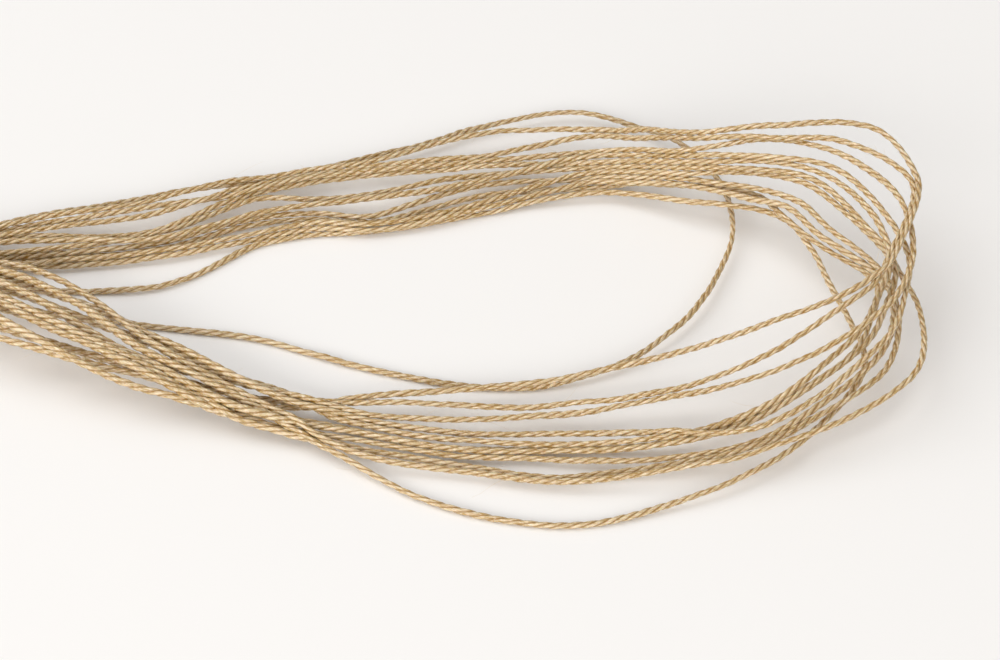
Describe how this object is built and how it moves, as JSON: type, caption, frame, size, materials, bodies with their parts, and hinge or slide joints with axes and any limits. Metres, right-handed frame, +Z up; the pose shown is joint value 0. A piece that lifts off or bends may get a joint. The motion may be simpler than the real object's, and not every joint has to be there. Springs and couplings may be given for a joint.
{
  "type": "hank of thread",
  "caption": "Loose hank of fine plied golden-tan thread, wound in a figure of eight and lying flat, its turns fanned apart in the wide loop.",
  "frame": {"origin": "on the table, under the place where the two bundles of turns cross", "axes": "+X along the hank towards its wide loop, +Y across it, +Z up from the table"},
  "size_m": [0.1956, 0.0721, 0.0124],
  "materials": {
    "thread": "fine plied thread, smooth and slightly lustrous, golden tan"
  },
  "bodies": {
    "root": {"hank": "thread"}
  },
  "joints": []
}
